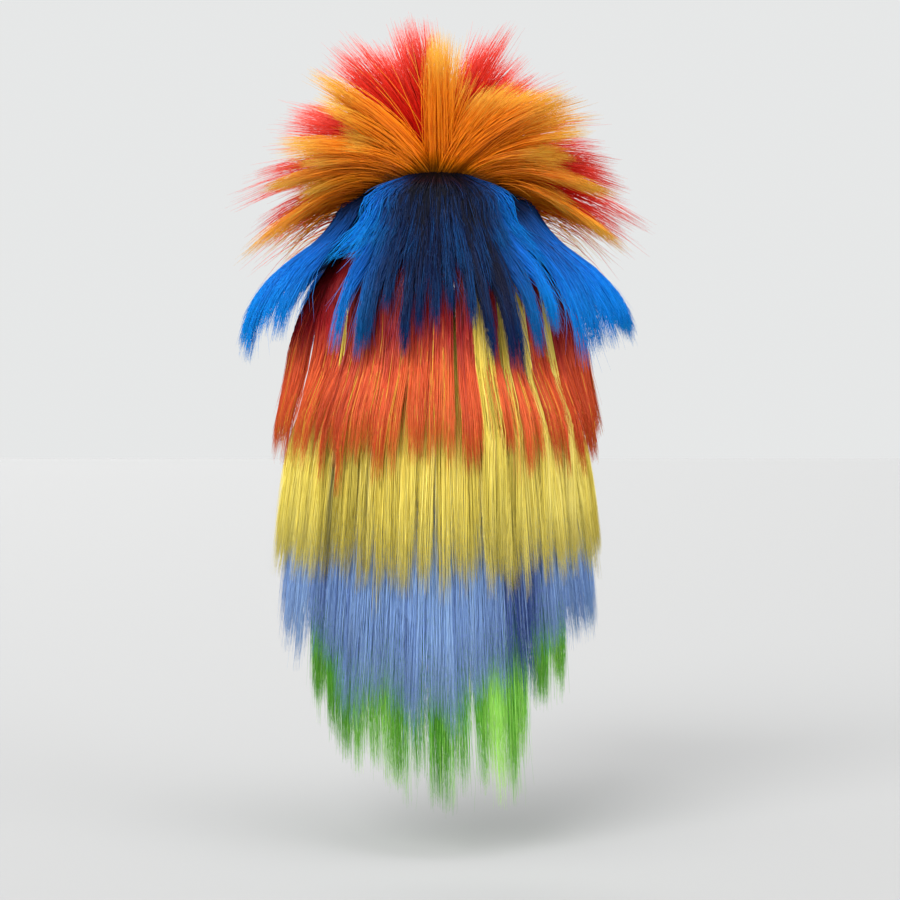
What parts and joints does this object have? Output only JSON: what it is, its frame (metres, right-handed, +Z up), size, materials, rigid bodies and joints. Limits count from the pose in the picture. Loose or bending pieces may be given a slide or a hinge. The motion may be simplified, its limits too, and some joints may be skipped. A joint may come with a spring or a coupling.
{
  "type": "costume wig",
  "caption": "Spiky-topped mullet costume wig with rainbow hair layers sewn to an adjustable open wefted cap.",
  "frame": {"origin": "centre of the head opening, in the plane where the head is widest, just above the ears", "axes": "+Z up towards the crown, -Y the way the wearer faces, +X the wearer's left"},
  "size_m": [0.2872, 0.2637, 0.5215],
  "materials": {
    "hook_plastic": "moulded, matt",
    "elastic_cloth": "flat knitted elastic",
    "strap_cloth": "woven ribbon",
    "blue_fibre": "synthetic fibre",
    "weft_black": "machine-sewn weft tape",
    "label_cloth": "plain woven tape, blank",
    "net_cloth": "stretch lace",
    "patch_skin": "thin skin-coloured knit",
    "red_fibre": "synthetic fibre",
    "stay_plastic": "thin clear strip",
    "band_cloth": "satin elastic",
    "orange_fibre": "synthetic fibre",
    "green_fibre": "synthetic fibre",
    "loop_thread": "twisted thread bars",
    "periwinkle_fibre": "synthetic fibre",
    "long_red_fibre": "synthetic fibre",
    "yellow_fibre": "synthetic fibre"
  },
  "bodies": {
    "cap": {"adjuster_strap_left": "elastic_cloth", "adjuster_strap_right": "elastic_cloth", "back_strap_left": "strap_cloth", "back_strap_right": "strap_cloth", "blue_back_locks": "blue_fibre", "blue_wefts": "weft_black", "blue_wing_left": "blue_fibre", "blue_wing_right": "blue_fibre", "care_label": "label_cloth", "crown_net": "net_cloth", "crown_patch": "patch_skin", "crown_red_spikes": "red_fibre", "crown_wefts": "weft_black", "fringe_locks": "red_fibre", "fringe_red_spikes": "red_fibre", "front_band": "band_cloth", "front_orange_spikes": "orange_fibre", "green_roots": "green_fibre", "green_wefts": "weft_black", "hook_loops_left": "loop_thread", "hook_loops_right": "loop_thread", "nape_band": "band_cloth", "periwinkle_roots": "periwinkle_fibre", "periwinkle_wefts": "weft_black", "rear_orange_spikes": "orange_fibre", "red_roots": "long_red_fibre", "red_wefts": "weft_black", "side_binding_left": "band_cloth", "side_binding_right": "band_cloth", "spine_strap": "strap_cloth", "top_red_spikes": "red_fibre", "whorl_orange_spikes": "orange_fibre", "yellow_roots": "yellow_fibre", "yellow_wefts": "weft_black"},
    "tail_centre": {"green_centre": "green_fibre", "periwinkle_centre": "periwinkle_fibre", "red_centre": "long_red_fibre", "yellow_centre": "yellow_fibre"},
    "tail_left": {"green_left": "green_fibre", "periwinkle_left": "periwinkle_fibre", "red_left": "long_red_fibre", "yellow_left": "yellow_fibre"},
    "tail_right": {"green_right": "green_fibre", "periwinkle_right": "periwinkle_fibre", "red_right": "long_red_fibre", "yellow_right": "yellow_fibre"},
    "ear_tab_left": {"ear_stay_left": "stay_plastic", "ear_tab_left": "net_cloth", "sideburn_left": "blue_fibre"},
    "ear_tab_right": {"ear_stay_right": "stay_plastic", "ear_tab_right": "net_cloth", "sideburn_right": "blue_fibre"},
    "hook_left": {"adjuster_hook_left": "hook_plastic"},
    "hook_right": {"adjuster_hook_right": "hook_plastic"}
  },
  "joints": [
    {"name": "tail_centre_lift", "type": "hinge", "parent": "cap", "child": "tail_centre", "pos_m": [0, 0.114, -0.042], "axis": [1, 0, 0], "range_deg": [0, 60]},
    {"name": "tail_left_lift", "type": "hinge", "parent": "cap", "child": "tail_left", "pos_m": [0.07876, 0.07012, -0.042], "axis": [0.5592, -0.829, 0], "range_deg": [0, 60]},
    {"name": "tail_right_lift", "type": "hinge", "parent": "cap", "child": "tail_right", "pos_m": [-0.07876, 0.07012, -0.042], "axis": [0.5592, 0.829, 0], "range_deg": [0, 60]},
    {"name": "ear_tab_left_flip", "type": "hinge", "parent": "cap", "child": "ear_tab_left", "pos_m": [0.06997, -0.0425, 0.0057], "axis": [-0.3591, -0.9333, 0], "range_deg": [-20, 45]},
    {"name": "ear_tab_right_flip", "type": "hinge", "parent": "cap", "child": "ear_tab_right", "pos_m": [-0.06997, -0.0425, 0.0057], "axis": [-0.3591, 0.9333, 0], "range_deg": [-20, 45]},
    {"name": "hook_left_adjust", "type": "hinge", "parent": "cap", "child": "hook_left", "pos_m": [0, 0.03056, -0.06675], "axis": [0, 0, 1], "range_deg": [0, 24], "deforming": ["adjuster_strap_left"]},
    {"name": "hook_right_adjust", "type": "hinge", "parent": "cap", "child": "hook_right", "pos_m": [0, 0.03056, -0.06675], "axis": [0, 0, -1], "range_deg": [0, 24], "deforming": ["adjuster_strap_right"]}
  ]
}
